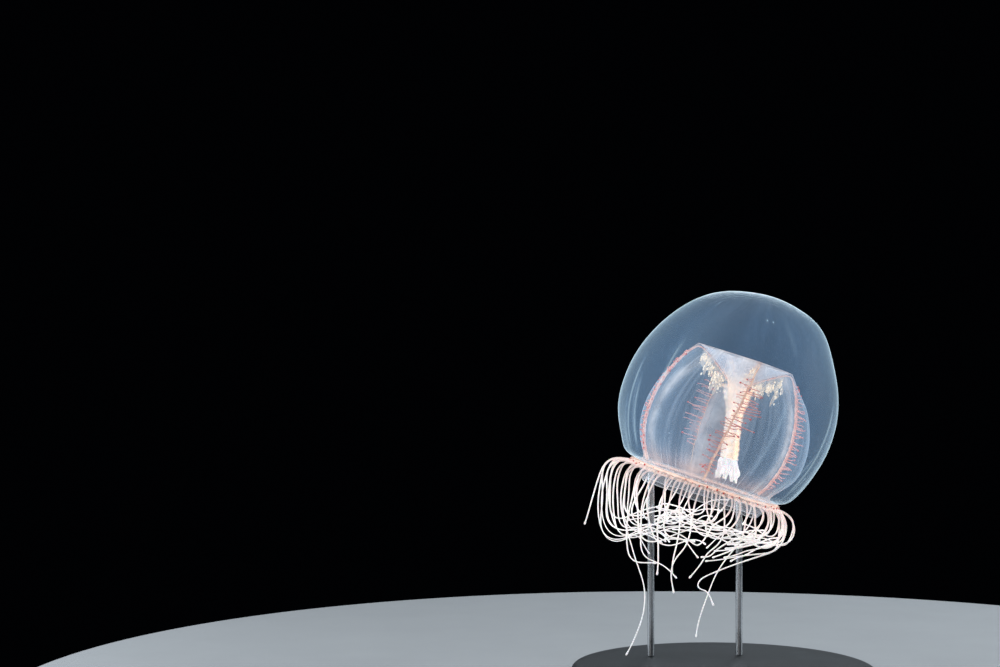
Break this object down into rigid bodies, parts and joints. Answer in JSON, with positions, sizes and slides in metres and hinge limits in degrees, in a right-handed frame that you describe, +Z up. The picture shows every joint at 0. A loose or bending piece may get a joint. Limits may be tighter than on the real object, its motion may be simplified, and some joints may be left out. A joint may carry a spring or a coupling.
{
  "type": "bell jellyfish display model",
  "caption": "Life-size bell jellyfish: a leaning dome of clear jelly with branched canals, a hanging stomach tube, a velum and a mop of looped tentacles, held over a round base by slim rods.",
  "frame": {"origin": "the middle of the stand's underside, on the floor", "axes": "+Z up; the top of the bell leans towards +X; the pictured side faces -Y"},
  "size_m": [0.084, 0.084, 0.1099],
  "materials": {
    "jelly": "clear jelly with a bluish haze, bright at its rim",
    "peduncle": "clear jelly, pale lilac",
    "membrane": "thin translucent skin",
    "stomach": "soft moist tissue, cream to orange",
    "lips": "soft moist tissue, bright white",
    "canal": "fine tissue, orange to red",
    "gonad": "soft tissue, cream",
    "tentacle": "moist translucent white, pink at the root",
    "stand_base": "satin black board",
    "stand_rod": "slim polished rod"
  },
  "bodies": {
    "root": {"bell_apex": "jelly", "bell_shoulder": "jelly", "bell_wall": "jelly", "canal_1": "canal", "canal_2": "canal", "canal_3": "canal", "canal_4": "canal", "gonad_1": "gonad", "gonad_2": "gonad", "gonad_3": "gonad", "gonad_4": "gonad", "manubrium": "stomach", "mouth": "lips", "peduncle": "peduncle", "stand_base": "stand_base", "stand_rod_1": "stand_rod", "stand_rod_2": "stand_rod", "tentacle_pair_01": "tentacle", "tentacle_pair_02": "tentacle", "tentacle_pair_03": "tentacle", "tentacle_pair_04": "tentacle", "tentacle_pair_05": "tentacle", "tentacle_pair_06": "tentacle", "tentacle_pair_07": "tentacle", "tentacle_pair_08": "tentacle", "tentacle_pair_09": "tentacle", "tentacle_pair_10": "tentacle", "tentacle_pair_11": "tentacle", "tentacle_pair_12": "tentacle", "tentacle_pair_13": "tentacle", "tentacle_pair_14": "tentacle", "tentacle_pair_15": "tentacle", "tentacle_pair_16": "tentacle", "tentacle_pair_17": "tentacle", "tentacle_pair_18": "tentacle", "tentacle_pair_19": "tentacle", "tentacle_pair_20": "tentacle", "tentacle_pair_21": "tentacle", "tentacle_pair_22": "tentacle", "tentacle_pair_23": "tentacle", "tentacle_pair_24": "tentacle", "tentacle_pair_25": "tentacle", "tentacle_pair_26": "tentacle", "tentacle_pair_27": "tentacle", "tentacle_pair_28": "tentacle", "tentacle_pair_29": "tentacle", "tentacle_pair_30": "tentacle", "tentacle_pair_31": "tentacle", "tentacle_pair_32": "tentacle", "trailing_left_middle": "tentacle", "trailing_left_tip": "tentacle", "trailing_loop_middle": "tentacle", "trailing_loop_tip": "tentacle", "trailing_right_middle": "tentacle", "trailing_right_tip": "tentacle", "velum": "membrane"}
  },
  "joints": []
}
